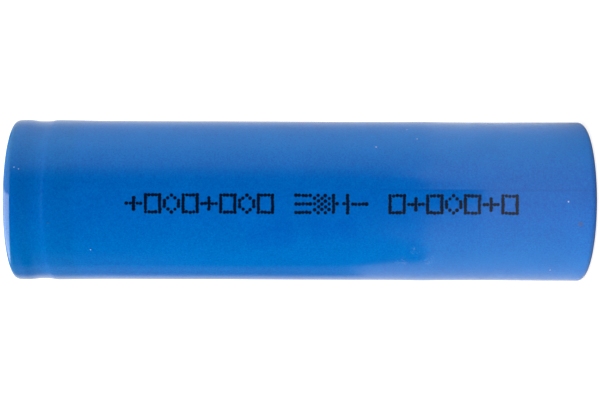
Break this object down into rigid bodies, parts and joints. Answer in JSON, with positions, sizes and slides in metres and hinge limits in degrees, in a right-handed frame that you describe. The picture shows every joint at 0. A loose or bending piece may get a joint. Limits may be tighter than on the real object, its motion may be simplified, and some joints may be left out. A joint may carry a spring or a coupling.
{
  "type": "cylindrical battery cell",
  "caption": "Cylindrical rechargeable cell: rolled electrodes in a crimped steel can with a vented cap, under a blue shrink sleeve.",
  "frame": {"origin": "middle of the flat negative base, where the cell stands", "axes": "+Z along the cell's axis, from the negative base to the positive cap; the print on the sleeve faces -Y"},
  "size_m": [0.0184, 0.0184, 0.0652],
  "materials": {
    "sleeve_film": "gloss",
    "washer_paper": "uncoated fibre paper",
    "can_steel": "drawn, nickel plated",
    "cap_steel": "pressed, nickel plated",
    "pin_steel": "rolled",
    "gasket_polymer": "moulded, natural",
    "ptc_composite": "carbon filled polymer",
    "header_aluminium": "pressed sheet",
    "insulator_board": "glass filled laminate",
    "positive_coating": "calendered coating on foil",
    "negative_coating": "calendered graphite on foil",
    "separator_film": "stretched microporous film",
    "amber_tape": "clear amber film tape",
    "lead_aluminium": "soft strip",
    "lead_nickel": "nickel strip"
  },
  "bodies": {
    "root": {"heat_shrink_sleeve": "sleeve_film", "terminal_washer": "washer_paper", "cell_can": "can_steel", "positive_cap": "cap_steel", "centre_pin": "pin_steel", "sealing_gasket": "gasket_polymer", "vent_insulator": "gasket_polymer", "ptc_ring": "ptc_composite", "vent_disc": "header_aluminium", "weld_plate": "header_aluminium", "upper_insulator": "insulator_board", "lower_insulator": "insulator_board", "positive_electrode": "positive_coating", "negative_electrode": "negative_coating", "separator_inner": "separator_film", "separator_outer": "separator_film", "roll_tape": "amber_tape", "positive_lead_tape": "amber_tape", "negative_lead_tape": "amber_tape", "positive_lead": "lead_aluminium", "negative_lead": "lead_nickel"}
  },
  "joints": []
}
